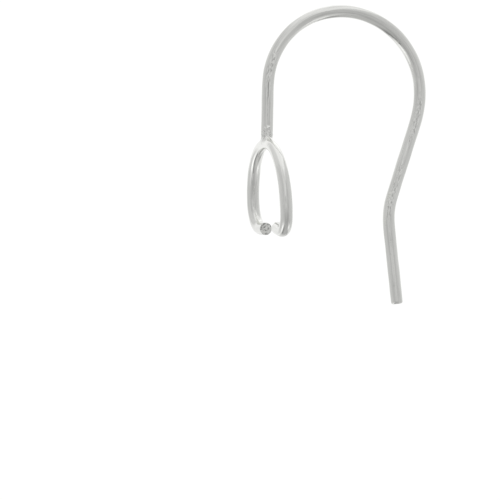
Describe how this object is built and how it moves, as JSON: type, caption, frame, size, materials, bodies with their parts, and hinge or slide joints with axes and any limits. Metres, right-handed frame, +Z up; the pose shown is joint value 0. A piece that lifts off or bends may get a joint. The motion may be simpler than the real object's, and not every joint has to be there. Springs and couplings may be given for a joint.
{
  "type": "ear wire",
  "caption": "Hook of polished round wire for a pierced ear, with a soldered open ring whose two inturned pegs hold a drilled pendant.",
  "frame": {"origin": "on the surface it lies on, under the middle of its outline seen from above", "axes": "+Z up from the surface it lies on; +Y along the hook from the tail's tip towards the top of the bow; +X from the bail across to the back of the bow"},
  "size_m": [0.012, 0.0201, 0.008],
  "materials": {
    "silver": "polished silver"
  },
  "bodies": {
    "root": {"ear_wire": "silver"}
  },
  "joints": []
}
